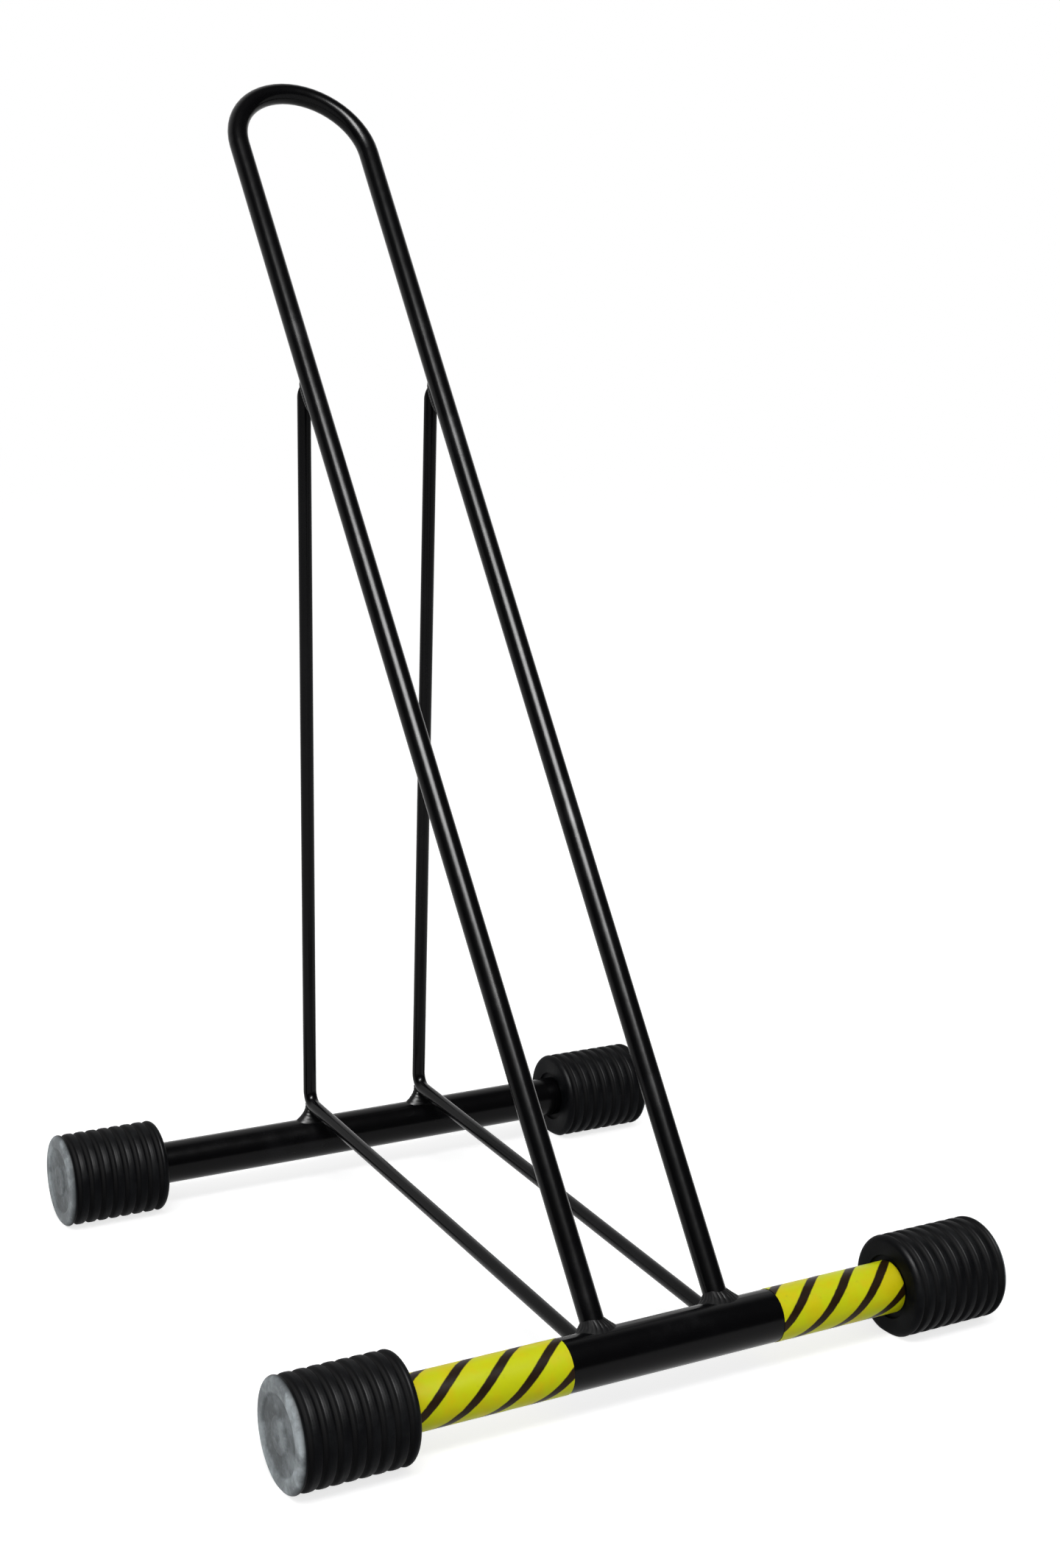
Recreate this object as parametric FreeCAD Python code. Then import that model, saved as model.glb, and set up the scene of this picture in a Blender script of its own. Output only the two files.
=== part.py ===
import FreeCAD, Part
import math
import os

from FreeCAD import Rotation, Vector

# Floor bike rack: a leaning hoop and two bent side rods on a front and a rear cross tube,
# with a ribbed cap on each tube end.
# Millimetres. +X is the rack's right as seen from the front, +Y runs to the back and +Z is up.
# The drawing below has the front tube's axis at y = 0 and the floor at z = 0. The exported
# pieces are moved along Y so that the origin is the centre of the footprint on the floor.

# Overall sizes
overall_height = 629.0
front_width = 377.4
rear_width = 367.8
tube_spacing = 324.5          # front tube axis to rear tube axis

# Cross tubes
front_tube_diameter = 25.0
rear_tube_diameter = 23.0
tube_wall = 1.5

# Hoop
hoop_bar_diameter = 11.5
hoop_lean_deg = 35.6          # from upright, towards the back
foot_spacing = 67.0           # between the leg axes, at the front tube's axis
arch_radius = 40.3            # of the bar's axis
hoop_offset = 3.3             # the hoop and its rods stand this far right of the tubes' middle

# Side rods
rod_diameter = 7.5
strut_spacing = 70.6          # between the two struts' axes
rod_bend_radius = 8.5         # of the rod's axis
rod_corner_behind = 4.0       # the corner of the rod's axis, behind the rear tube's axis
rod_corner_above = 8.5        # the same corner, above the rear tube's crown
rod_top_height = 456.0        # where the rod's end starts to lie along the hoop leg
strut_foot_drop = 1.0         # the strut's front end, below the front tube's axis
rod_bevel_deg = 30.0          # slope from upright of the bevel on the rod's top end
rod_bevel_start = 10.5        # the bevel's lower edge, below rod_top_height

# End caps
cap_diameter = 50.0
cap_length = 56.0
foot_flat_depth = 1.5         # cut off the underside to give the flat foot
cap_end_wall = 6.0
cap_edge_radius = 2.5
cap_collar_radius = 3.0
collar_band = 4.0             # least distance from the last groove's middle to the inner face
groove_pitch = 6.6
groove_width = 2.6
groove_depth = 1.2
first_groove = 4.8            # from the outer face to the middle of the first groove
dish_outer_radius = 18.0
dish_inner_radius = 8.0
dish_depth = 0.8
mouth_margin = 3.0            # shallow recess round the tube at the cap's inner face
mouth_depth = 1.5
cap_bore_clearance = 0.0      # the caps are a push fit

# Tape
tape_thickness = 0.4
left_tape_inner_end = 52.0    # distance from the tube's middle to the left tape's inner end
right_tape_inner_end = 62.2   # the same on the right

# Welds
hoop_weld_size = 4.5
rod_weld_reach = 2.2          # how far the rod's weld stands out round its front end
rod_weld_rise = 2.5           # how far it climbs along the rod from the front tube
rod_weld_root = 0.5           # where its slope starts, inside the front tube's surface
saddle_reach = 7.0            # how far the saddle weld spreads from the rod along the rear tube
saddle_depth = 5.0            # half its size front to back, at its base
saddle_draw = 1.5             # how much its front and back slope in
saddle_root = 1.5             # how far its base is sunk below the rear tube's crown
saddle_climb = 0.5            # how far its top reaches above the corner of the rod's axis
saddle_tuck = 0.6             # how far its top edges lie inside the rod's sides
saddle_flank_share = 0.28     # where each flank's arc passes, from top to foot and foot to top; 0.5 is flat
top_weld_length = 24.0
top_weld_drop = 2.0           # the bead's middle, below rod_top_height
top_weld_diameter = 8.8

# Shaping
trim_length = 30.0            # bar left past a joint before it is shaped to its neighbour
trim_block = 75.0             # size of the block that cuts an end off
seam_samples = 4              # points tried along an edge to find a weld's seam
seam_tolerance = 0.01         # how near to both surfaces they lie

LEFT = -1
RIGHT = 1
SIDES = {"left": LEFT, "right": RIGHT}

front_radius = front_tube_diameter / 2
rear_radius = rear_tube_diameter / 2
hoop_bar_radius = hoop_bar_diameter / 2
rod_radius = rod_diameter / 2
cap_radius = cap_diameter / 2
axis_height = cap_radius - foot_flat_depth
rear_crown = axis_height + rear_radius
groove_count = 1 + int((cap_length - collar_band - first_groove) / groove_pitch)
cos_45 = math.sqrt(0.5)

X_AXIS = Vector(1, 0, 0)
lean = math.radians(hoop_lean_deg)
up_hoop = Vector(0, math.sin(lean), math.cos(lean))
front_middle = Vector(0, 0, axis_height)
rear_middle = Vector(0, tube_spacing, axis_height)

# The hoop in its own leaning plane: its arch's centre lies arch_centre up the slope from the
# front tube's axis, and each leg splays by leg_splay so that it runs into the arch without a kink.
arch_centre = (overall_height - axis_height - hoop_bar_radius) / math.cos(lean) - arch_radius
half_foot = foot_spacing / 2
leg_splay = math.asin(arch_radius / math.hypot(half_foot, arch_centre)) - math.atan(half_foot / arch_centre)
leg_length = (arch_centre - arch_radius * math.sin(leg_splay)) / math.cos(leg_splay)
footprint_front = -cap_radius
footprint_back = max(
    tube_spacing + cap_radius,
    (arch_centre + arch_radius) * math.sin(lean) + hoop_bar_radius,
)
footprint_middle = (footprint_front + footprint_back) / 2


def hoop_point(x, slope):
    """A point x to the side and slope up the hoop's plane from the front tube's axis."""
    return front_middle + Vector(x, 0, 0) + up_hoop * slope


def leg_foot(side):
    return hoop_point(side * half_foot, 0)


def leg_direction(side):
    return Vector(side * math.sin(leg_splay), 0, 0) + up_hoop * math.cos(leg_splay)


def leg_x(height):
    """How far each leg's axis is from the middle at a height."""
    slope = (height - axis_height) / math.cos(lean)
    return half_foot + slope * math.tan(leg_splay)


def straight_bar(radius, start, end):
    run = end - start
    return Part.makeCylinder(radius, run.Length, start, run)


def bent_bar(radius, start, direction, centre, axis, angle_deg):
    """A round bar that turns about an axis through centre, from start."""
    section = Part.Face(Part.Wire(Part.makeCircle(radius, start, direction)))
    return section.revolve(centre, axis, angle_deg)


def cross_tube(middle, radius, length):
    """A hollow tube along X."""
    start = middle - X_AXIS * (length / 2)
    outside = Part.makeCylinder(radius, length, start, X_AXIS)
    inside = Part.makeCylinder(radius - tube_wall, length, start, X_AXIS)
    return outside.cut(inside)


def cross_tube_body(middle, radius):
    """The same tube filled in, to shape what is welded to it."""
    return Part.makeCylinder(radius, front_width, middle - X_AXIS * (front_width / 2), X_AXIS)


def front_tube():
    return cross_tube(front_middle, front_radius, front_width - 2 * cap_end_wall)


def rear_tube():
    return cross_tube(rear_middle, rear_radius, rear_width - 2 * cap_end_wall)


def hoop_leg(side):
    foot = leg_foot(side)
    return straight_bar(hoop_bar_radius, foot, foot + leg_direction(side) * leg_length)


def hoop():
    """Two legs and a half-round arch, with the feet shaped to sit on the front tube."""
    arch_start = leg_foot(RIGHT) + leg_direction(RIGHT) * leg_length
    arch_axis = X_AXIS.cross(up_hoop)
    arch_middle = hoop_point(0, arch_centre)
    arch_angle = 180 + 2 * math.degrees(leg_splay)
    arch = bent_bar(hoop_bar_radius, arch_start, leg_direction(RIGHT), arch_middle, arch_axis, arch_angle)
    bar = hoop_leg(RIGHT).fuse([arch, hoop_leg(LEFT)]).removeSplitter()
    return bar.cut(cross_tube_body(front_middle, front_radius))


def rod_foot(side):
    """The rod's axis at its front end, inside the front tube."""
    return Vector(side * strut_spacing / 2, 0, axis_height - strut_foot_drop)


def rod_corner(side):
    """Where the axes of the rod's two straight runs meet, above the rear tube."""
    corner_y = tube_spacing + rod_corner_behind
    return Vector(side * strut_spacing / 2, corner_y, rear_crown + rod_corner_above)


def rod_top(side):
    """The rod's axis at the height where its end starts to lie along the hoop leg."""
    touch_gap = rod_radius + hoop_bar_radius / math.cos(lean)
    leg_y = (rod_top_height - axis_height) * math.tan(lean)
    return Vector(side * leg_x(rod_top_height), leg_y + touch_gap, rod_top_height)


def rod_bend(side):
    """The bend's two ends, its centre, its axis and its angle."""
    corner = rod_corner(side)
    to_foot = (rod_foot(side) - corner).normalize()
    to_top = (rod_top(side) - corner).normalize()
    between = math.acos(to_foot.dot(to_top))
    setback = rod_bend_radius / math.tan(between / 2)
    middle_line = (to_foot + to_top).normalize()
    centre = corner + middle_line * (rod_bend_radius / math.sin(between / 2))
    turn_axis = to_foot.cross(to_top).normalize()
    turn_deg = 180 - math.degrees(between)
    return corner + to_foot * setback, corner + to_top * setback, centre, turn_axis, turn_deg


def beyond_plane(point, outward):
    """A block that fills the space beyond a plane."""
    block = Part.makeBox(trim_block, trim_block, trim_block, Vector(-trim_block / 2, -trim_block / 2, 0))
    block.Placement = FreeCAD.Placement(point, Rotation(Vector(0, 0, 1), outward))
    return block


def leg_back(side):
    """The direction out of the back of a hoop leg."""
    return X_AXIS.cross(leg_direction(side)).normalize() * -1


def leg_point(side, height):
    """The point of a leg's axis at a height."""
    return leg_foot(side) + leg_direction(side) * ((height - axis_height) / leg_direction(side).z)


def strut_bar(side):
    """The straight lower run, from the front tube's middle to the bend."""
    return straight_bar(rod_radius, rod_foot(side), rod_bend(side)[0])


def post_bar(side):
    """The straight upright run, from the bend into the hoop leg, bevelled behind."""
    top = rod_top(side)
    post_start = rod_bend(side)[1]
    past_top = top + (top - rod_corner(side)).normalize() * trim_length
    bevel = math.radians(rod_bevel_deg)
    bevel_out = Vector(0, math.cos(bevel), math.sin(bevel))
    bevel_edge = top + Vector(0, rod_radius, -rod_bevel_start)
    return straight_bar(rod_radius, post_start, past_top).cut(beyond_plane(bevel_edge, bevel_out))


def side_rod(side):
    """A post behind the hoop leg, a bend over the rear tube and a strut to the front tube.

    The top end is hollowed to lie against the back of the leg, and the front end against the tube.
    """
    strut_end, post_start, centre, turn_axis, turn_deg = rod_bend(side)
    bend = bent_bar(rod_radius, strut_end, strut_end - rod_foot(side), centre, turn_axis, -turn_deg)
    rod = strut_bar(side).fuse([bend, post_bar(side)]).removeSplitter()
    rod = rod.cut(beyond_plane(leg_point(side, rod_top_height), leg_back(side) * -1))
    rod = rod.cut(hoop_leg(side))
    return rod.cut(cross_tube_body(front_middle, front_radius))


def end_cap(x_face, side, middle, tube_radius):
    """A ribbed cap turned about the tube's axis, with a flat foot underneath.

    The profile runs from the dished outer face, over the grooves and the collar, and back
    along the blind bore. Its x is the distance in from the outer face.
    """
    bore_radius = tube_radius + cap_bore_clearance
    mouth_radius = bore_radius + mouth_margin
    edges = []
    here = [Vector(0, 0, 0)]

    def line(x, r):
        there = Vector(x, 0, r)
        edges.append(Part.makeLine(here[0], there))
        here[0] = there

    def arc(x_mid, r_mid, x, r):
        there = Vector(x, 0, r)
        edges.append(Part.Arc(here[0], Vector(x_mid, 0, r_mid), there).toShape())
        here[0] = there

    def rounded_edge(radius, x_corner, x_from, r_from, x_to, r_to):
        inset = radius * (1 - cos_45)
        inward = 1 if x_corner == 0 else -1
        line(x_from, r_from)
        arc(x_corner + inward * inset, cap_radius - inset, x_to, r_to)

    line(0, dish_inner_radius)
    line(dish_depth, dish_inner_radius + dish_depth)
    line(dish_depth, dish_outer_radius - dish_depth)
    line(0, dish_outer_radius)
    rounded_edge(cap_edge_radius, 0, 0, cap_radius - cap_edge_radius, cap_edge_radius, cap_radius)
    for index in range(groove_count):
        groove_middle = first_groove + index * groove_pitch
        line(groove_middle - groove_width / 2, cap_radius)
        arc(groove_middle, cap_radius - groove_depth, groove_middle + groove_width / 2, cap_radius)
    collar_start = cap_length - cap_collar_radius
    collar_end_radius = cap_radius - cap_collar_radius
    rounded_edge(cap_collar_radius, cap_length, collar_start, cap_radius, cap_length, collar_end_radius)
    line(cap_length, mouth_radius)
    line(cap_length - mouth_depth, mouth_radius)
    line(cap_length - mouth_depth, bore_radius)
    line(cap_end_wall, bore_radius)
    line(cap_end_wall, 0)
    line(0, 0)

    body = Part.Face(Part.Wire(edges)).revolve(Vector(0, 0, 0), X_AXIS, 360)
    below_foot = Part.makeBox(
        cap_length, cap_diameter, cap_diameter, Vector(0, -cap_radius, -axis_height - cap_diameter)
    )
    body = body.cut(below_foot)
    if side == RIGHT:
        body = body.mirror(Vector(0, 0, 0), X_AXIS)
    body.translate(Vector(side * x_face, 0, 0) + middle)
    return body


def tape(side):
    """A thin sleeve of tape on the front tube, from near the hoop foot to the cap."""
    outer_end = front_width / 2 - cap_length + mouth_depth
    inner_end = left_tape_inner_end if side == LEFT else right_tape_inner_end
    start = front_middle + X_AXIS * (side * inner_end)
    length = outer_end - inner_end
    direction = X_AXIS * side
    sleeve = Part.makeCylinder(front_radius + tape_thickness, length, start, direction)
    return sleeve.cut(Part.makeCylinder(front_radius, length, start, direction))


def seam_edges(joint, bar_axis_point, bar_direction, bar_radius, tube_middle, tube_radius):
    """The edges of a joint that lie both on the bar's surface and on the tube's surface."""
    found = []
    for edge in joint.Edges:
        first, last = edge.ParameterRange
        step = (last - first) / seam_samples
        points = [edge.valueAt(first + step * (index + 0.5)) for index in range(seam_samples)]
        off_bar = [abs(point.distanceToLine(bar_axis_point, bar_direction) - bar_radius) for point in points]
        off_tube = [abs(point.distanceToLine(tube_middle, X_AXIS) - tube_radius) for point in points]
        if max(off_bar + off_tube) < seam_tolerance:
            found.append(edge)
    return found


def fillet_weld(bar_start, bar_direction, bar_radius, weld_size):
    """The ring of weld metal in the corner between a bar and the front tube."""
    bar = Part.makeCylinder(bar_radius, front_radius + trim_length, bar_start, bar_direction)
    joint = cross_tube_body(front_middle, front_radius).fuse(bar)
    seam = seam_edges(joint, bar_start, bar_direction, bar_radius, front_middle, front_radius)
    return joint.makeFillet(weld_size, seam).cut(joint)


def rod_foot_collar(side):
    """The rod's weld filled in: a short round collar that tapers towards the rod."""
    foot = rod_foot(side)
    along = (rod_corner(side) - foot).normalize()
    slope_start = front_radius - rod_weld_root
    slope = rod_weld_root + rod_weld_rise
    wide = rod_radius + rod_weld_reach
    collar = Part.makeCylinder(wide, slope_start, foot, along)
    taper = Part.makeCone(wide, rod_radius, slope, foot + along * slope_start, along)
    return collar.fuse(taper)


def rod_foot_weld(side):
    weld = rod_foot_collar(side).cut(cross_tube_body(front_middle, front_radius))
    return weld.cut(strut_bar(side)).cut(hoop_leg(side))


def hoop_foot_weld(side):
    ring = fillet_weld(leg_foot(side), leg_direction(side), hoop_bar_radius, hoop_weld_size)
    return ring.cut(rod_foot_collar(side))


def rear_bend_weld(side):
    """A saddle of weld metal between the rear tube's crown and the rod's bend above it.

    Its flanks along the tube are hollow arcs, and its front and back slope in towards the rod.
    """
    corner = rod_corner(side)
    wide = rod_radius + saddle_reach
    narrow = rod_radius - saddle_tuck
    base = rear_crown - saddle_root
    peak = corner.z + saddle_climb
    flank_height = peak - rear_crown
    flank_x = narrow + (wide - narrow) * saddle_flank_share
    flank_z = rear_crown + flank_height * saddle_flank_share
    ends = [Vector(wide, -saddle_depth, rear_crown), Vector(narrow, -saddle_depth, peak)]
    left_ends = [Vector(-point.x, point.y, point.z) for point in ends]
    front = Part.Wire([
        Part.makeLine(Vector(-wide, -saddle_depth, base), Vector(wide, -saddle_depth, base)),
        Part.makeLine(Vector(wide, -saddle_depth, base), ends[0]),
        Part.Arc(ends[0], Vector(flank_x, -saddle_depth, flank_z), ends[1]).toShape(),
        Part.makeLine(ends[1], left_ends[1]),
        Part.Arc(left_ends[1], Vector(-flank_x, -saddle_depth, flank_z), left_ends[0]).toShape(),
        Part.makeLine(left_ends[0], Vector(-wide, -saddle_depth, base)),
    ])
    along_tube = Part.Face(front).extrude(Vector(0, 2 * saddle_depth, 0))
    taper = saddle_depth - saddle_draw
    side_points = [
        Vector(-wide, -saddle_depth, base),
        Vector(-wide, saddle_depth, base),
        Vector(-wide, taper, peak),
        Vector(-wide, -taper, peak),
    ]
    across_tube = Part.Face(Part.makePolygon(side_points + side_points[:1])).extrude(Vector(2 * wide, 0, 0))
    saddle = along_tube.common(across_tube)
    saddle.translate(Vector(corner.x, tube_spacing, 0))
    saddle = saddle.cut(cross_tube_body(rear_middle, rear_radius))
    return saddle.cut(side_rod(side))


def round_ended_bead(radius, start, end):
    """A straight bead with half-round ends, turned about its own length."""
    length = (end - start).Length
    mid_arc = radius * cos_45
    first_tip = Vector(0, 0, -radius)
    first_shoulder = Vector(radius, 0, 0)
    last_shoulder = Vector(radius, 0, length)
    last_tip = Vector(0, 0, length + radius)
    outline = Part.Wire([
        Part.Arc(first_tip, Vector(mid_arc, 0, -mid_arc), first_shoulder).toShape(),
        Part.makeLine(first_shoulder, last_shoulder),
        Part.Arc(last_shoulder, Vector(mid_arc, 0, length + mid_arc), last_tip).toShape(),
        Part.makeLine(last_tip, first_tip),
    ])
    bead = Part.Face(outline).revolve(Vector(0, 0, 0), Vector(0, 0, 1), 360)
    bead.Placement = FreeCAD.Placement(start, Rotation(Vector(0, 0, 1), end - start))
    return bead


def rod_top_weld(side):
    """A long bead along the line where the rod's end lies against the hoop leg."""
    radius = top_weld_diameter / 2
    middle = leg_point(side, rod_top_height - top_weld_drop) + leg_back(side) * hoop_bar_radius
    reach = leg_direction(side) * (top_weld_length / 2 - radius)
    bead = round_ended_bead(radius, middle - reach, middle + reach)
    return bead.cut(hoop_leg(side)).cut(post_bar(side))


def all_pieces():
    """Each piece under the name of its node."""
    base = {"front_tube": front_tube(), "rear_tube": rear_tube()}
    upper = {"hoop": hoop()}
    for name, side in SIDES.items():
        base["cap_front_" + name] = end_cap(front_width / 2, side, front_middle, front_radius)
        base["cap_rear_" + name] = end_cap(rear_width / 2, side, rear_middle, rear_radius)
        base["tape_" + name] = tape(side)
        upper["side_rod_" + name] = side_rod(side)
        upper["hoop_foot_weld_" + name] = hoop_foot_weld(side)
        upper["rod_foot_weld_" + name] = rod_foot_weld(side)
        upper["rear_bend_weld_" + name] = rear_bend_weld(side)
        upper["rod_top_weld_" + name] = rod_top_weld(side)
    for piece in upper.values():
        piece.translate(Vector(hoop_offset, 0, 0))
    return {**base, **upper}


def main():
    os.makedirs("parts", exist_ok=True)
    for name, piece in all_pieces().items():
        piece.translate(Vector(0, -footprint_middle, 0))
        piece.exportStep("parts/" + name + ".step")
        box = piece.BoundBox
        print(
            f"{name:24s} solids {len(piece.Solids)} valid {piece.isValid()} volume {piece.Volume:9.1f}"
            f"  x {box.XMin:7.1f} {box.XMax:7.1f}"
            f"  y {box.YMin:7.1f} {box.YMax:7.1f}"
            f"  z {box.ZMin:6.1f} {box.ZMax:6.1f}"
        )


main()
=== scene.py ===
import math

import bpy
import numpy as np
from bpy.props import FloatProperty, FloatVectorProperty, IntProperty, PointerProperty
from mathutils import Matrix, Vector


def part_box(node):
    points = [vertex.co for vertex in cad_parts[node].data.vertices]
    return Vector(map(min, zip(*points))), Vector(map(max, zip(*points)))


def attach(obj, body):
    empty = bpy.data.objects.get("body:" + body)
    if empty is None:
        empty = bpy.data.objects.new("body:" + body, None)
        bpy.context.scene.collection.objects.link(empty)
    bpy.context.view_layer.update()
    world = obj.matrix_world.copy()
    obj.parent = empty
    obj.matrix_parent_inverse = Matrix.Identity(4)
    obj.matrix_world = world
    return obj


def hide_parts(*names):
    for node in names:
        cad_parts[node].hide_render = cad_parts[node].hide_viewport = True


bl_info = {
    "name": "Floor bike rack",
    "version": (1, 0, 0),
    "blender": (4, 5, 0),
    "location": "View3D > Sidebar > Bike rack",
    "description": "Paint, weld beads, ribbed rubber caps and striped tape for a floor bike rack",
    "category": "Object",
}

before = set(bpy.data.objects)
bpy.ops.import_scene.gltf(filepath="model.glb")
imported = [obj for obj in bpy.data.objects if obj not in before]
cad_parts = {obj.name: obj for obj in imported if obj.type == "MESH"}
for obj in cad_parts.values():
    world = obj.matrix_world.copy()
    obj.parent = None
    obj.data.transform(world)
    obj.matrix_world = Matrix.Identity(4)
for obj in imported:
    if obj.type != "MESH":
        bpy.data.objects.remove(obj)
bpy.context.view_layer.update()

MM = 0.001
SIDES = {"left": -1, "right": 1}
ENDS = ("front", "rear")
PAINTED_NODES = ("front_tube", "rear_tube", "hoop", "side_rod_left", "side_rod_right")
X_AXIS = np.array([1.0, 0.0, 0.0])
SHARP_EDGE = math.radians(38)

# Colours that only show mixed into another one.
# The first colour is painted shade, darkening the caps' grooves.
GROOVE_SHADE = (0.0012, 0.0012, 0.0015, 1.0)
GRIMY_TAPE = (0.34, 0.35, 0.02, 1.0)
PALE_STRIPE = (0.026, 0.010, 0.0015, 1.0)

# How strongly each material mirrors what is round it.
PAINT_SPECULAR = 0.09
RUBBER_SPECULAR = 0.038
TAPE_SPECULAR = 0.08

# The paint's waves on the weld beads, and how much stronger they are there.
WELD_WAVE_SIZE = 1.1 * MM
WELD_RELIEF = 1.6

# Radii in a cap's outer face between which its ring starts, its ring ends and its boss ends.
RING_START = (7.4 * MM, 8.8 * MM)
RING_END = (17.0 * MM, 18.6 * MM)
BOSS_END = (3.2 * MM, 2.2 * MM)

# Where the tape's turn starts, how far its edges stay inside the CAD sleeve, and how wavy they are.
TAPE_SEAM = math.radians(212)
TAPE_INSET = 0.2 * MM
TAPE_EDGE_WAVE = 0.32 * MM

# Both lamps face a point behind the front tube and above the floor. Lengths are in metres.
LAMP_TARGET_BEHIND = 0.198
LAMP_TARGET_HEIGHT = 0.3
LAMP_DIRECTION = (-0.257, -0.483, 0.838)
LAMP_DISTANCE = 2.2
LAMP_SIZE = (1.5, 0.6)
STRIP_SIZE = (1.2, 0.4)

# How far a direction points to the back where the mirrored room turns from dim to white.
DIM_EDGE = (0.15, 0.6)
FLOOR_REACH = 15.0
FLOOR_DROP = 0.05 * MM


def tube_line(end):
    """A cross tube's place from front to back, its axis height and its radius, read from its box."""
    low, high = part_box(f"{end}_tube")
    return (low.y + high.y) / 2, (low.z + high.z) / 2, (high.z - low.z) / 2


def hoop_middle():
    """How far the hoop's middle is to the right of the tubes' middle."""
    low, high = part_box("hoop")
    return (low.x + high.x) / 2


def length_property(name, description, millimetres):
    return FloatProperty(
        name=name, description=description, default=millimetres * MM, unit="LENGTH", precision=5
    )


def colour_property(name, description, colour):
    return FloatVectorProperty(
        name=name, description=description, default=colour, size=4, subtype="COLOR", min=0.0, max=1.0
    )


def share_property(name, description, share):
    return FloatProperty(
        name=name, description=description, default=share, min=0.0, max=1.0, subtype="FACTOR"
    )


class RackPaintSettings(bpy.types.PropertyGroup):
    colour: colour_property(
        "Paint", "Colour of the paint on the bars and tubes", (0.0018, 0.0018, 0.0022, 1.0)
    )
    worn_colour: colour_property(
        "Rubbed paint", "Colour of the faint rubbed and dusty patches", (0.009, 0.009, 0.0105, 1.0)
    )
    roughness: share_property("Roughness", "How dull the paint is", 0.17)
    peel_size: length_property("Texture size", "Size of the paint's fine waves", 2.4)


class RackFrameSettings(bpy.types.PropertyGroup):
    hoop_lean: FloatProperty(
        name="Hoop lean",
        description="Angle of the hoop from upright",
        default=math.radians(35.6),
        subtype="ANGLE",
    )
    hoop_bar_radius: length_property("Hoop bar radius", "Radius of the hoop's round bar", 5.75)
    foot_spacing: length_property("Foot spacing", "Distance between the hoop's feet", 67.0)
    arch_radius: length_property("Arch radius", "Radius of the arch, at the bar's axis", 40.3)
    rod_radius: length_property("Rod radius", "Radius of a side rod", 3.75)
    rod_spacing: length_property("Rod spacing", "Distance between the side rods' lower runs", 70.6)
    rod_foot_drop: length_property("Rod foot drop", "Rod's front end, below the front tube's axis", 1.0)
    rod_corner_behind: length_property("Corner behind", "Rod's corner, behind the rear tube's axis", 4.0)
    rod_corner_above: length_property("Corner above", "Rod's corner, above the rear tube's crown", 8.5)
    rod_top_height: length_property("Rod top", "Height at which the rod's end meets the hoop", 456.0)


class RackWeldSettings(bpy.types.PropertyGroup):
    colour: colour_property("Weld", "Colour of the painted beads", (0.0022, 0.0022, 0.0026, 1.0))
    roughness: share_property("Roughness", "How dull the painted beads are", 0.36)
    ripple_pitch: length_property("Ripple pitch", "Distance between two ripples of a bead", 1.7)
    ripple_height: length_property("Ripple height", "How far a ripple stands out", 0.28)
    hoop_bead: length_property("Hoop bead", "Size of the bead round each hoop foot", 4.6)
    rod_bead: length_property("Rod bead", "Size of the bead round each rod's front end", 2.4)
    saddle_reach: length_property("Saddle reach", "How far the saddle bead spreads along the rear tube", 7.0)
    saddle_depth: length_property("Saddle depth", "Half the saddle bead's size front to back", 5.2)
    top_bead_length: length_property("Top bead length", "Length of the bead at each rod's top", 24.0)
    top_bead_radius: length_property("Top bead radius", "Radius of the bead at each rod's top", 4.4)
    top_bead_drop: length_property(
        "Top bead drop", "Middle of the bead at each rod's top, below the rod's top", 2.0
    )


class RackCapSettings(bpy.types.PropertyGroup):
    colour: colour_property("Rubber", "Colour of the caps", (0.0011, 0.0013, 0.0021, 1.0))
    # Pale colour, blended in a little everywhere by cloudy noise as dust, and strongly on the outer face as
    # dust and a painted sheen.
    dust_and_sheen_colour: colour_property(
        "Dusty rubber", "Colour of the rubber where it is scuffed", (0.62, 0.68, 0.71, 1.0)
    )
    roughness: share_property("Roughness", "How dull the rubber is", 0.46)
    edge_radius: length_property("Edge radius", "Rounding of the outer rim", 2.5)
    collar_radius: length_property("Collar radius", "Rounding of the inner rim", 3.0)
    groove_pitch: length_property("Groove pitch", "Distance between two grooves", 6.6)
    groove_width: length_property("Groove width", "Width of a groove", 2.6)
    groove_depth: length_property("Groove depth", "Depth of a groove", 1.2)
    first_groove: length_property("First groove", "From the outer face to the first groove", 4.8)
    groove_count: IntProperty(name="Grooves", description="Number of grooves", default=8, min=1)
    dish_depth: length_property("Dish depth", "Depth of the ring in the outer face", 0.8)
    end_wall: length_property("End wall", "Thickness of the outer wall", 6.0)
    mouth_margin: length_property("Mouth margin", "Width of the recess round the tube", 3.0)
    mouth_depth: length_property("Mouth depth", "Depth of the recess round the tube", 1.5)


class RackTapeSettings(bpy.types.PropertyGroup):
    colour: colour_property("Tape", "Main colour of the tape", (0.62, 0.67, 0.004, 1.0))
    warm_colour: colour_property(
        "Warm patches", "Colour of the tape's warmer patches", (0.70, 0.58, 0.003, 1.0)
    )
    stripe_colour: colour_property("Stripe", "Colour of the thin stripes", (0.010, 0.0055, 0.0012, 1.0))
    roughness: share_property("Roughness", "How dull the tape is", 0.36)
    thickness: length_property("Thickness", "Thickness of one layer of tape", 0.2)
    stripe_width: length_property("Stripe width", "Width of a stripe, along the tube", 6.4)
    left_pitch: length_property("Left pitch", "Distance between stripes on the left tape", 23.75)
    right_pitch: length_property("Right pitch", "Distance between stripes on the right tape", 22.2)
    left_lead: length_property(
        "Left lead", "How far a stripe moves to the right in one turn, on the left", 96.5
    )
    right_lead: length_property(
        "Right lead", "How far a stripe moves to the right in one turn, on the right", 91.0
    )
    left_start: length_property(
        "Left start", "Stripe at the front of the left tape, from the hoop's middle", -106.0
    )
    right_start: length_property(
        "Right start", "Stripe at the front of the right tape, from the hoop's middle", 82.5
    )
    lap_angle: FloatProperty(
        name="Lap",
        description="Angle over which the tape covers its own start",
        default=math.radians(24),
        subtype="ANGLE",
    )


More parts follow.
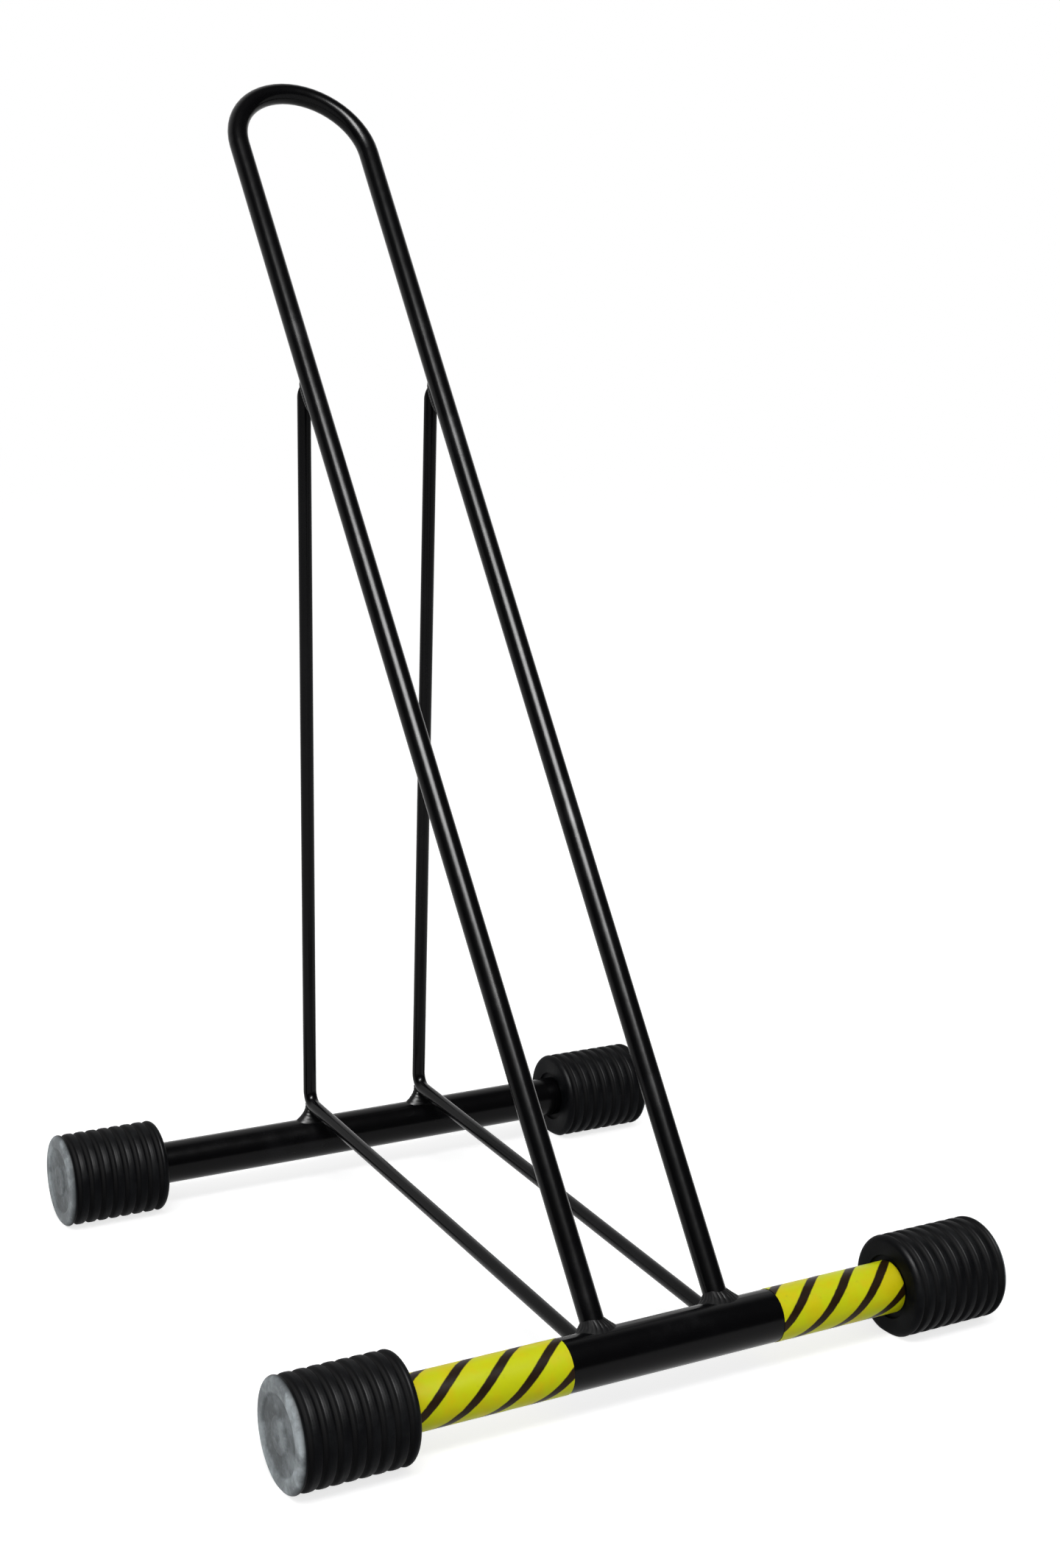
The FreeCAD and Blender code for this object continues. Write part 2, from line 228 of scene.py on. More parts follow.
class RackStageSettings(bpy.types.PropertyGroup):
    floor_colour: colour_property("Floor", "Colour of the floor", (0.52, 0.52, 0.52, 1.0))
    floor_glow: FloatProperty(
        name="Floor white", description="Plain white that the camera sees on the floor", default=0.74
    )
    room_level: FloatProperty(name="Room", description="Level of the room's soft light", default=0.5)
    dim_level: share_property(
        "Dim side", "Level that the paint mirrors from the room in front of the rack", 0.08
    )
    lamp_power: FloatProperty(name="Lamp", description="Power of the soft lamp", default=26.0, unit="POWER")
    strip_power: FloatProperty(
        name="Strip", description="Power of the strip that shows in the paint", default=440.0, unit="POWER"
    )
    focal_length: FloatProperty(name="Lens", description="Focal length in millimetres", default=48.371)
    camera_azimuth: FloatProperty(
        name="Azimuth",
        description="Direction of view, to the right of straight back",
        default=math.radians(29.3266),
        subtype="ANGLE",
    )
    camera_tilt: FloatProperty(
        name="Tilt",
        description="How far the camera looks down",
        default=math.radians(10.4770),
        subtype="ANGLE",
    )
    camera_roll: FloatProperty(
        name="Roll", description="Turn about the line of sight", default=math.radians(0.6219), subtype="ANGLE"
    )
    camera_place: FloatVectorProperty(
        name="Camera place",
        description="Camera, from the point of the floor under the hoop's feet",
        default=(-0.501924, -0.760852, 0.452318),
        subtype="TRANSLATION",
        unit="LENGTH",
    )


def unit(vector):
    """Vectors scaled to length one, along the last axis."""
    return vector / np.linalg.norm(vector, axis=-1, keepdims=True)


def smooth_step(low, high, value):
    """0 below low and 1 above high, with 3t^2 - 2t^3 between them."""
    share = np.clip((value - low) / (high - low), 0.0, 1.0)
    return share * share * (3.0 - 2.0 * share)


def waves(amplitude, seed, *phases):
    """A sum of a few sine waves with seeded directions and starts, for small unevenness."""
    picker = np.random.default_rng(seed)
    total = 0.0
    for _ in range(4):
        turn = sum(picker.uniform(-1.0, 1.0) * phase for phase in phases)
        total = total + np.sin(turn + picker.uniform(0.0, 2.0 * math.pi))
    return amplitude * total / 4.0


def surface_object(name, points, material, wrap_rows=False, poles=True, uv=None, marks=None):
    """Makes a piece from a grid of points: rows of a closed ring each, joined by four-sided faces.

    With poles, a point at the middle of the first and of the last row closes the surface. The signed volume
    of the fan from the origin to each face tells which way round the faces go.
    """
    rows, columns = points.shape[:2]
    index = np.arange(rows * columns).reshape(rows, columns)
    here = index if wrap_rows else index[:-1]
    there = np.roll(index, -1, 0) if wrap_rows else index[1:]
    quads = np.stack([here, np.roll(here, -1, 1), np.roll(there, -1, 1), there], -1).reshape(-1, 4)
    vertices = points.reshape(-1, 3)
    fans = np.zeros((0, 3), int)
    if poles:
        vertices = np.vstack([vertices, points[0].mean(0), points[-1].mean(0)])
        first, last = rows * columns, rows * columns + 1
        start, end = index[0], index[-1]
        fans = np.vstack([
            np.stack([np.full(columns, first), np.roll(start, -1), start], -1),
            np.stack([np.full(columns, last), end, np.roll(end, -1)], -1),
        ])
    corners = vertices[quads]
    volume = np.einsum("ij,ij->i", corners[:, 0], np.cross(corners[:, 1], corners[:, 2])).sum()
    volume += np.einsum("ij,ij->i", corners[:, 0], np.cross(corners[:, 2], corners[:, 3])).sum()
    if len(fans):
        tips = vertices[fans]
        volume += np.einsum("ij,ij->i", tips[:, 0], np.cross(tips[:, 1], tips[:, 2])).sum()
    if volume < 0:
        quads, fans = quads[:, ::-1], fans[:, ::-1]
    mesh = bpy.data.meshes.new(name)
    mesh.from_pydata(vertices.tolist(), [], quads.tolist() + fans.tolist())
    mesh.polygons.foreach_set("use_smooth", np.ones(len(mesh.polygons), bool))
    mesh.set_sharp_from_angle(angle=SHARP_EDGE)
    for mark, values in (marks or {}).items():
        filled = np.zeros(len(vertices), np.float32)
        filled[: rows * columns] = values.reshape(-1)
        mesh.attributes.new(mark, "FLOAT", "POINT").data.foreach_set("value", filled)
    if uv is not None:
        flat = np.zeros((len(vertices), 2))
        flat[: rows * columns] = uv.reshape(-1, 2)
        if poles:
            flat[rows * columns] = uv[0].mean(0)
            flat[rows * columns + 1] = uv[-1].mean(0)
        corner_vertex = np.zeros(len(mesh.loops), np.int32)
        mesh.loops.foreach_get("vertex_index", corner_vertex)
        layer = mesh.uv_layers.new(name="UVMap")
        layer.data.foreach_set("uv", flat[corner_vertex].astype(np.float32).reshape(-1))
    mesh.update()
    if mesh.validate():
        raise RuntimeError(f"{name} had faulty faces")
    piece = bpy.data.objects.new(name, mesh)
    bpy.context.scene.collection.objects.link(piece)
    mesh.materials.append(material)
    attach(piece, "root")
    return piece


class NodeBench:
    """Adds nodes to one tree. An input is a number, a colour or the output of another node."""

    def __init__(self, tree):
        self.tree = tree

    def feed(self, socket, value):
        if isinstance(value, bpy.types.NodeSocket):
            self.tree.links.new(value, socket)
        else:
            socket.default_value = value

    def add(self, kind, inputs, output=0, **settings):
        node = self.tree.nodes.new(kind)
        for name, value in settings.items():
            setattr(node, name, value)
        for name, value in inputs.items():
            self.feed(node.inputs[name], value)
        return node.outputs[output]

    def place(self):
        """Object coordinates, in metres."""
        return self.add("ShaderNodeTexCoord", {}, output="Object")

    def noise(self, size, detail=3.0, roughness=0.55, vector=None):
        """Smooth noise whose features are about this size in metres."""
        inputs = {
            "Vector": vector or self.place(),
            "Scale": 1.0 / size,
            "Detail": detail,
            "Roughness": roughness,
        }
        return self.add("ShaderNodeTexNoise", inputs)

    def between(self, value, low, high, to_low=0.0, to_high=1.0):
        """Takes value from the range low to high smoothly to another range."""
        inputs = {"Value": value, "From Min": low, "From Max": high, "To Min": to_low, "To Max": to_high}
        return self.add("ShaderNodeMapRange", inputs, interpolation_type="SMOOTHSTEP")

    def mix(self, share, first, second):
        """Goes from the first number to the second."""
        return self.add("ShaderNodeMix", {0: share, 2: first, 3: second})

    def math(self, operation, first, second=0.0):
        return self.add("ShaderNodeMath", {0: first, 1: second}, operation=operation)

    def blend(self, share, first, second):
        """Goes from the first colour to the second."""
        return self.add("ShaderNodeMix", {0: share, 6: first, 7: second}, output=2, data_type="RGBA")

    def bump(self, height, depth, strength=1.0, normal=None):
        """Raises the surface by height times depth in metres."""
        inputs = {"Height": height, "Distance": depth, "Strength": strength}
        if normal is not None:
            inputs["Normal"] = normal
        return self.add("ShaderNodeBump", inputs)


def new_material(name, specular, **plain):
    """A material's bench and its shader, with its constant values set on the shader itself."""
    material = bpy.data.materials.new(name)
    material.use_nodes = True
    shader = material.node_tree.nodes["Principled BSDF"]
    shader.inputs["Specular IOR Level"].default_value = specular
    for key, value in plain.items():
        shader.inputs[key.replace("_", " ").title()].default_value = value
    return material, NodeBench(material.node_tree), shader


def satin_paint(name, colour, worn_colour, roughness, peel_size, relief):
    """Satin black paint: fine waves, faint scuffs and specks, and rubbed patches that are duller."""
    material, bench, shader = new_material(name, specular=PAINT_SPECULAR)
    patches = bench.between(bench.noise(0.045, detail=5.0), 0.52, 0.78)
    stretched = {"Vector": bench.place(), "Scale": (1.0, 0.16, 0.16), "Rotation": (0.4, 0.3, 0.2)}
    scuff_place = bench.add("ShaderNodeMapping", stretched)
    scuffs = bench.between(bench.noise(0.0016, detail=2.0, vector=scuff_place), 0.66, 0.74)
    specks = bench.between(bench.noise(0.0007, detail=1.0), 0.72, 0.8)
    faint = bench.math("MULTIPLY", patches, 0.55)
    rubbed = bench.math("MAXIMUM", faint, bench.math("MULTIPLY", scuffs, patches))
    worn = bench.math("MAXIMUM", rubbed, bench.math("MULTIPLY", specks, 0.2))
    bench.feed(shader.inputs["Base Color"], bench.blend(worn, colour, worn_colour))
    dulled = bench.math("MULTIPLY_ADD", patches, 0.07)
    dulled.node.inputs[2].default_value = roughness
    uneven = bench.math("MULTIPLY", bench.noise(0.006), 0.06)
    bench.feed(shader.inputs["Roughness"], bench.math("ADD", dulled, uneven))
    peel = bench.bump(bench.noise(peel_size, detail=1.5), 0.00003 * relief, 0.35)
    grain = bench.bump(bench.noise(0.00025, detail=1.0), 0.000002 * relief, 0.3, normal=peel)
    bench.feed(shader.inputs["Normal"], grain)
    return material


def cap_rubber(settings):
    """Moulded rubber: fine grain, dull dusty patches, dust and a painted sheen on the outer face, and grooves
    darkened by painted shade.
    """
    material, bench, shader = new_material("cap_rubber", specular=RUBBER_SPECULAR)
    groove = bench.add("ShaderNodeAttribute", {}, output="Fac", attribute_name="groove")
    face = bench.add("ShaderNodeAttribute", {}, output="Fac", attribute_name="face")
    patches = bench.between(bench.noise(0.014, detail=6.0, roughness=0.62), 0.42, 0.74)
    streaks = bench.between(bench.noise(0.0022, detail=4.0), 0.55, 0.75)
    cloudy = bench.math("ADD", bench.math("MULTIPLY", patches, 0.5), bench.math("MULTIPLY", streaks, 0.16))
    # The outer face gets dust and a painted sheen from the face mark. It is lighter towards the rim, and
    # darker in the ring's dish as painted shade.
    face_dust_and_sheen = bench.math("MULTIPLY", face, bench.math("ADD", bench.math("MULTIPLY", cloudy, 1.15), 0.38))
    dust_and_sheen = bench.math("ADD", face_dust_and_sheen, bench.math("MULTIPLY", cloudy, 0.012))
    cleaned = bench.blend(dust_and_sheen, tuple(settings.colour), tuple(settings.dust_and_sheen_colour))
    # Painted shade: the grooves are darkened towards a near-black colour.
    groove_shade = bench.math("MULTIPLY", groove, 0.8)
    bench.feed(shader.inputs["Base Color"], bench.blend(groove_shade, cleaned, GROOVE_SHADE))
    rough = bench.math("ADD", bench.math("MULTIPLY", groove, 0.25), bench.math("MULTIPLY", patches, 0.12))
    face_shine = bench.math("MULTIPLY", face, -0.06)
    rough = bench.math("ADD", bench.math("ADD", rough, face_shine), settings.roughness)
    bench.feed(shader.inputs["Roughness"], rough)
    grain = bench.bump(bench.noise(0.0006, detail=3.0), 0.00005, 0.6)
    soft = bench.bump(bench.noise(0.006, detail=2.0), 0.00022, 0.5, normal=grain)
    bench.feed(shader.inputs["Normal"], soft)
    return material


def striped_tape(name, settings, start, pitch, lead):
    """Yellow tape with thin dark stripes.

    A stripe's place is x - lead * turn, with x along the tube and turn round it, both from the UV map,
    and stripes repeat at each pitch. Each stripe's edges are uneven by a little noise.
    """
    material, bench, shader = new_material(name, specular=TAPE_SPECULAR)
    split = bench.tree.nodes.new("ShaderNodeSeparateXYZ")
    bench.feed(split.inputs[0], bench.add("ShaderNodeTexCoord", {}, output="UV"))
    along, turn = split.outputs[0], split.outputs[1]
    slanted = bench.math("SUBTRACT", bench.math("SUBTRACT", along, start), bench.math("MULTIPLY", turn, lead))
    ragged = bench.math("MULTIPLY", bench.math("SUBTRACT", bench.noise(0.004, detail=3.0), 0.5), 0.0009)
    count = bench.math("DIVIDE", bench.math("ADD", slanted, ragged), pitch)
    part = bench.math("FRACT", bench.math("ADD", count, 0.5))
    away = bench.math("ABSOLUTE", bench.math("SUBTRACT", part, 0.5))
    half = settings.stripe_width / (2.0 * pitch)
    stripe = bench.between(away, half * 0.86, half * 1.14, 1.0, 0.0)
    patches = bench.between(bench.noise(0.013, detail=3.0), 0.38, 0.68)
    warmth = bench.math("MULTIPLY", patches, 0.8)
    yellow = bench.blend(warmth, tuple(settings.colour), tuple(settings.warm_colour))
    grime = bench.between(bench.noise(0.0035, detail=5.0), 0.62, 0.82, 0.0, 0.35)
    dirty = bench.blend(grime, yellow, GRIMY_TAPE)
    stripe_paint = bench.blend(bench.noise(0.003), tuple(settings.stripe_colour), PALE_STRIPE)
    bench.feed(shader.inputs["Base Color"], bench.blend(stripe, dirty, stripe_paint))
    rough = bench.math("ADD", bench.math("MULTIPLY", bench.noise(0.005), 0.16), settings.roughness - 0.08)
    bench.feed(shader.inputs["Roughness"], rough)
    raised = bench.bump(stripe, 0.00004, 0.6)
    cloth = bench.bump(bench.noise(0.0011, detail=3.0), 0.00005, 0.5, normal=raised)
    creases = bench.bump(bench.noise(0.009, detail=2.0), 0.0003, 0.35, normal=cloth)
    bench.feed(shader.inputs["Normal"], creases)
    return material


def leg_line(frame_settings, side):
    """A hoop leg's foot on the front tube's axis and its direction.

    The arch's centre is on the hoop's middle line, and the leg runs from the foot so that it touches
    the arch.
    """
    tube_y, tube_z, _ = tube_line("front")
    lean = frame_settings.hoop_lean
    half_foot = frame_settings.foot_spacing / 2
    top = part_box("hoop")[1].z
    slope = (top - tube_z - frame_settings.hoop_bar_radius) / math.cos(lean) - frame_settings.arch_radius
    reach = math.hypot(half_foot, slope)
    splay = math.asin(frame_settings.arch_radius / reach) - math.atan(half_foot / slope)
    up = np.array([0.0, math.sin(lean), math.cos(lean)])
    direction = side * math.sin(splay) * X_AXIS + math.cos(splay) * up
    return np.array([hoop_middle() + side * half_foot, tube_y, tube_z]), direction


def rod_line(frame_settings, side):
    """A side rod's front end on the front tube, and its corner above the rear tube."""
    front_y, front_z, _ = tube_line("front")
    rear_y, rear_z, rear_radius = tube_line("rear")
    x = hoop_middle() + side * frame_settings.rod_spacing / 2
    foot = np.array([x, front_y, front_z - frame_settings.rod_foot_drop])
    corner_y = rear_y + frame_settings.rod_corner_behind
    corner_z = rear_z + rear_radius + frame_settings.rod_corner_above
    return foot, np.array([x, corner_y, corner_z])


def scallops(travel, lag):
    """Weld ripples, from 0 to 1: rounded steps with a narrow valley between them, swept back by lag."""
    return np.abs(np.sin(math.pi * (travel + lag))) ** 0.6


def corner_bead(foot, direction, bar_radius, size, settings, seed):
    """The ring of weld in the corner between a round bar and the front tube.

    For each angle round the bar, the distance along it at which its surface meets the tube's solves
    |start + t direction| = tube radius in the plane across the tube. The bead runs from one toe on the
    bar to one on the tube, bulges a little, and carries ripples along the seam. It closes inside both.
    """
    tube_y, tube_z, tube_radius = tube_line("front")
    angles = np.linspace(0.0, 2.0 * math.pi, 220, endpoint=False)
    first = unit(np.cross(direction, X_AXIS))
    second = np.cross(direction, first)
    radial = np.cos(angles)[:, None] * first + np.sin(angles)[:, None] * second
    start = foot + radial * bar_radius
    across, lift = start[:, 1] - tube_y, start[:, 2] - tube_z
    square = direction[1] ** 2 + direction[2] ** 2
    half_slope = across * direction[1] + lift * direction[2]
    rest = across**2 + lift**2 - tube_radius**2
    reach = (-half_slope + np.sqrt(half_slope**2 - square * rest)) / square
    seam = start + reach[:, None] * direction
    tube_out = seam - [0.0, tube_y, tube_z]
    tube_out = unit(tube_out * [0.0, 1.0, 1.0])
    spread = unit(radial - (radial * tube_out).sum(1)[:, None] * tube_out)
    uneven = 1.0 + waves(0.14, seed, 3.0 * angles, 5.0 * angles)[:, None]
    steps = np.linalg.norm(np.roll(seam, -1, 0) - seam, axis=1)
    travel = np.concatenate([[0.0], np.cumsum(steps)[:-1]]) / steps.sum()
    travel = travel * round(steps.sum() / settings.ripple_pitch)

    def on_tube(points, radius):
        """Points moved straight towards or away from the tube's axis, to a radius."""
        out = unit((points - [0.0, tube_y, tube_z]) * [0.0, 1.0, 1.0])
        return points * [1.0, 0.0, 0.0] + [0.0, tube_y, tube_z] + out * radius

    bar_toe = seam + direction * size * uneven - radial * 0.12 * MM
    tube_toe = on_tube(seam + spread * size * uneven, tube_radius - 0.12 * MM)
    outward = unit(radial + tube_out)
    shares = np.linspace(0.0, 1.0, 13)
    face = []
    for share in shares:
        arch = math.sin(math.pi * share)
        ripple = scallops(travel, 0.45 * (2.0 * share - 1.0) ** 2)[:, None]
        lift_out = settings.ripple_height * (ripple - 0.5) * arch**0.7 - 0.04 * size * arch
        face.append(bar_toe * (1.0 - share) + tube_toe * share + outward * lift_out)
    tube_root = on_tube(seam + spread * 0.3 * size, tube_radius - 0.9 * MM)
    bar_root = seam + direction * 0.3 * size - radial * 1.0 * MM
    rings = np.stack(face + [tube_root, bar_root], 0)
    return rings.transpose(1, 0, 2)


def saddle_bead(corner, rod_radius, settings, seed):
    """Weld between the rear tube's crown and the rod's bend above it.

    Each ring is a rounded oblong, |x/a|^2.6 + |y/b|^2.6 = 1. Going up, a and b shrink along a hollow curve
    from the toe on the tube to the rod's sides, and small level ripples run round it.
    """
    rear_y, rear_z, rear_radius = tube_line("rear")
    crown = rear_z + rear_radius
    angles = np.linspace(0.0, 2.0 * math.pi, 120, endpoint=False)
    cosine, sine = np.cos(angles), np.sin(angles)
    squareness = 2.6
    size = (np.abs(cosine) ** squareness + np.abs(sine) ** squareness) ** (-1 / squareness)
    peak = corner[2] + 0.4 * MM
    rows = []
    for share in np.linspace(0.0, 1.0, 34):
        hollow = (1.0 - share) ** 2.1
        half_width = rod_radius - 0.5 * MM + settings.saddle_reach * hollow
        half_depth = rod_radius - 0.6 * MM + (settings.saddle_depth - rod_radius + 0.6 * MM) * hollow
        uneven = 1.0 + waves(0.05, seed, 2.0 * angles, 3.0 * angles + 5.0 * share)
        ripple = settings.ripple_height * 0.8 * (scallops(share * 6.0 + 0.25 * cosine, 0.0) - 0.5)
        x = cosine * (half_width * size * uneven + ripple)
        y = sine * (half_depth * size * uneven + ripple)
        on_tube = np.sqrt(np.maximum(rear_radius**2 - y**2, 0.0)) + rear_z
        base = np.minimum(on_tube, crown) - 0.25 * MM
        z = base + (peak - crown) * share
        y_middle = rear_y + (corner[1] - rear_y) * share * 0.6
        rows.append(np.stack([corner[0] + x, y_middle + y, z], -1))
    rows = np.array(rows)
    sunk = rows[0] * [0.82, 0.82, 1.0] + np.array([corner[0] * 0.18, rear_y * 0.18, -1.0 * MM])
    return np.vstack([sunk[None], rows])


def top_bead(middle, direction, settings, seed):
    """A long bead along the line where the rod lies against the leg.

    Its radius follows R (1 - |t|^3)^(1/2.4) from end to end, t from -1 to 1, with ripples along it.
    """
    angles = np.linspace(0.0, 2.0 * math.pi, 56, endpoint=False)
    first = unit(np.cross(direction, X_AXIS))
    second = np.cross(direction, first)
    radial = np.cos(angles)[:, None] * first + np.sin(angles)[:, None] * second
    shares = np.sin(np.linspace(-math.pi / 2, math.pi / 2, 92)[1:-1])
    half = settings.top_bead_length / 2
    ripples = settings.top_bead_length / settings.ripple_pitch
    rows = []
    for share in shares:
        round_end = (1.0 - abs(share) ** 3) ** (1 / 2.4)
        ripple = scallops(0.5 * share * ripples + 0.3 * np.cos(2 * angles), 0.0) - 0.5
        uneven = waves(0.12 * MM, seed, 2.0 * angles, 4.0 * share)
        radius = (settings.top_bead_radius - settings.ripple_height + uneven) * round_end
        radius = radius + settings.ripple_height * ripple * round_end
        rows.append(middle + direction * half * share + radial * radius[:, None])
    return np.array(rows)


def cap_profile(settings, length, radius, tube_radius):
    """The cap's outline: distance in from the outer face, radius, groove mark, and a mark of dust and painted
    sheen on the face.

    It goes from the middle of the outer face, whose ring is let in by smooth steps, round the rim, over
    the grooves, each R - depth exp(-(d / w)^4) at a distance d from its middle, round the collar, into
    the mouth and back along the blind bore.
    """
    edge, collar = settings.edge_radius, settings.collar_radius
    face_r = np.linspace(0.0, radius - edge, 54)[1:]
    dish = smooth_step(*RING_START, face_r) - smooth_step(*RING_END, face_r)
    crown = 0.25 * MM * (face_r / radius) ** 2
    boss = 0.35 * MM * smooth_step(*BOSS_END, face_r)
    face_x = settings.dish_depth * dish + crown + boss + 0.05 * MM
    rim_turn = np.linspace(0.0, math.pi / 2, 12)[1:]
    rim_start = face_x[-1]
    rim_x = rim_start + (edge - rim_start) * (1.0 - np.cos(rim_turn))
    rim_r = radius - edge + edge * np.sin(rim_turn)
    side_x = np.linspace(edge, length - collar, 190)[1:]
    middles = settings.first_groove + settings.groove_pitch * np.arange(settings.groove_count)
    away = np.abs(side_x[:, None] - middles).min(1)
    groove = np.exp(-((away / (settings.groove_width * 0.52)) ** 4))
    rib_round = 0.12 * MM * (away / (settings.groove_pitch / 2)) ** 2
    side_r = radius - 0.12 * MM - settings.groove_depth * groove + np.minimum(rib_round, 0.12 * MM)
    collar_turn = np.linspace(0.0, math.pi / 2, 14)[1:]
    collar_x = length - collar + collar * np.sin(collar_turn)
    collar_r = radius - collar + collar * np.cos(collar_turn)
    mouth = tube_radius + settings.mouth_margin
    soft = 0.35 * MM
    depth = length - settings.mouth_depth
    inner_x = [length, length - 0.1 * MM, length - soft, depth + soft, depth, depth, depth]
    inner_r = [mouth + soft, mouth + 0.1 * MM, mouth, mouth, mouth - soft, tube_radius + soft, tube_radius]
    bore_x = [depth - soft, settings.end_wall + soft, settings.end_wall, settings.end_wall]
    bore_r = [tube_radius, tube_radius, tube_radius - soft, 1.0 * MM]
    x = np.concatenate([face_x, rim_x, side_x, collar_x, inner_x, bore_x])
    r = np.concatenate([face_r, rim_r, side_r, collar_r, inner_r, bore_r])
    groove_mark = np.zeros(len(x))
    groove_mark[len(face_x) + len(rim_x):][: len(side_x)] = groove
    # Dust and painted sheen on the face: lighter towards the rim, darker in the ring's dish as painted shade,
    # and fading over the rounded rim.
    face_dust_and_sheen_mark = np.zeros(len(x))
    face_dust_and_sheen_mark[: len(face_x)] = (0.66 + 0.34 * (face_r / radius) ** 2) * (1.0 - 0.34 * dish)
    face_dust_and_sheen_mark[len(face_x):][: len(rim_x)] = np.cos(rim_turn)
    return x, r, groove_mark, face_dust_and_sheen_mark


def cap_surface(settings, end, side):
    """The cap's outline turned about the tube's axis, and pressed flat where it rests on the floor.

    A point at an angle below the axis is no further out than axis height / cos(angle from straight down).
    """
    tube_y, tube_z, tube_radius = tube_line(end)
    name = "left" if side < 0 else "right"
    low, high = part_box(f"cap_{end}_{name}")
    radius = high.z - tube_z
    x, r, groove, face = cap_profile(settings, high.x - low.x, radius, tube_radius)
    outer = low.x if side < 0 else high.x
    angles = np.linspace(0.0, 2.0 * math.pi, 168, endpoint=False)
    down = np.maximum(-np.sin(angles), 1e-3)
    limit = (tube_z - 0.01 * MM) / down
    wide = np.minimum(r[:, None], limit[None, :])
    points = np.stack([
        np.broadcast_to((outer - side * x)[:, None], wide.shape),
        tube_y - wide * np.cos(angles),
        tube_z + wide * np.sin(angles),
    ], -1)
    spread = np.ones_like(wide)
    return points, groove[:, None] * spread, face[:, None] * spread


def tape_surface(settings, side):
    """One turn and a lap of tape round the front tube, as a thin closed band.

    Each row is the band's cross-section at an angle, a thin oblong along the tube. The band rises by its own
    thickness where it laps over its start. Its edges and its surface are slightly wavy.
    """
    tube_y, tube_z, tube_radius = tube_line("front")
    low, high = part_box("tape_left" if side < 0 else "tape_right")
    angles = np.linspace(TAPE_SEAM, TAPE_SEAM + 2 * math.pi + settings.lap_angle, 260)
    turned = angles - TAPE_SEAM
    lifted = settings.thickness * smooth_step(2 * math.pi - 0.10, 2 * math.pi + 0.02, turned)
    seed = 11 if side < 0 else 23
    low_edge = low.x + TAPE_INSET + waves(TAPE_EDGE_WAVE, seed, 2.0 * angles, 1.3 * angles)
    high_edge = high.x - TAPE_INSET + waves(TAPE_EDGE_WAVE, seed + 1, 2.3 * angles, 1.1 * angles)
    shares = np.linspace(0.0, 1.0, 70)
    x_out = low_edge[:, None] * (1 - shares) + high_edge[:, None] * shares
    ripple = waves(0.05 * MM, seed + 2, 700.0 * x_out, 9.0 * angles[:, None])
    inner = tube_radius + 0.01 * MM + lifted[:, None]
    outer = inner + settings.thickness + np.maximum(ripple, -0.04 * MM) * np.sin(math.pi * shares) ** 0.3
    x = np.concatenate([x_out, x_out[:, ::-1]], 1)
    radius = np.concatenate([outer, np.broadcast_to(inner, x_out.shape)], 1)
    turn = np.broadcast_to(angles[:, None], x.shape)
    points = np.stack([x, tube_y - radius * np.cos(turn), tube_z + radius * np.sin(turn)], -1)
    uv = np.stack([x, (turn - 2 * math.pi) / (2 * math.pi)], -1)
    return points, uv


class BIKERACK_OT_painted_frame(bpy.types.Operator):
    """Paint the cross tubes, the hoop and the side rods"""

    bl_idname = "bikerack.painted_frame"
    bl_label = "Painted frame"

    def execute(self, context):
        settings = context.scene.rack_paint
        colour, worn = tuple(settings.colour), tuple(settings.worn_colour)
        paint = satin_paint("black_paint", colour, worn, settings.roughness, settings.peel_size, 1.0)
        for name in PAINTED_NODES:
            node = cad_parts[name]
            node.data.materials.clear()
            node.data.materials.append(paint)
        return {"FINISHED"}


class BIKERACK_OT_weld_beads(bpy.types.Operator):
    """Lay the painted weld beads at the feet, the rear bends and the rod tops"""

    bl_idname = "bikerack.weld_beads"
    bl_label = "Weld beads"

    def execute(self, context):
        settings = context.scene.rack_weld
        frame_settings = context.scene.rack_frame
        colour, worn = tuple(settings.colour), tuple(context.scene.rack_paint.worn_colour)
        paint = satin_paint("painted_weld", colour, worn, settings.roughness, WELD_WAVE_SIZE, WELD_RELIEF)
        bar_radius, rod_radius = frame_settings.hoop_bar_radius, frame_settings.rod_radius
        for name, side in SIDES.items():
            foot, direction = leg_line(frame_settings, side)
            rod_foot, corner = rod_line(frame_settings, side)
            along = unit(corner - rod_foot)
            hoop_ring = corner_bead(foot, direction, bar_radius, settings.hoop_bead, settings, 5 + side)
            rod_ring = corner_bead(rod_foot, along, rod_radius, settings.rod_bead, settings, 15 + side)
            back = -unit(np.cross(X_AXIS, direction))
            tube_z = tube_line("front")[1]
            bead_height = frame_settings.rod_top_height - settings.top_bead_drop
            up_leg = direction * (bead_height - tube_z) / direction[2]
            middle = foot + up_leg + back * bar_radius
            made = {
                "hoop_foot_weld": (hoop_ring, True),
                "rod_foot_weld": (rod_ring, True),
                "rear_bend_weld": (saddle_bead(corner, rod_radius, settings, 25 + side), False),
                "rod_top_weld": (top_bead(middle, direction, settings, 35 + side), False),
            }
            for kind, (points, ring) in made.items():
                piece = surface_object(
                    f"{kind}_bead_{name}", points, paint, wrap_rows=ring, poles=not ring
                )
                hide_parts(f"{kind}_{name}")
        return {"FINISHED"}


class BIKERACK_OT_end_caps(bpy.types.Operator):
    """Mould the four ribbed rubber caps"""

    bl_idname = "bikerack.end_caps"
    bl_label = "End caps"

    def execute(self, context):
        settings = context.scene.rack_cap
        rubber = cap_rubber(settings)
        for end in ENDS:
            for name, side in SIDES.items():
                points, groove, face = cap_surface(settings, end, side)
                # The groove mark carries painted shade and rougher rubber. The face mark carries dust and a
                # painted sheen on the outer face.
                marks = {"groove": groove, "face": face}
                title = f"ribbed_cap_{end}_{name}"
                piece = surface_object(title, points, rubber, marks=marks)
                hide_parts(f"cap_{end}_{name}")
        return {"FINISHED"}


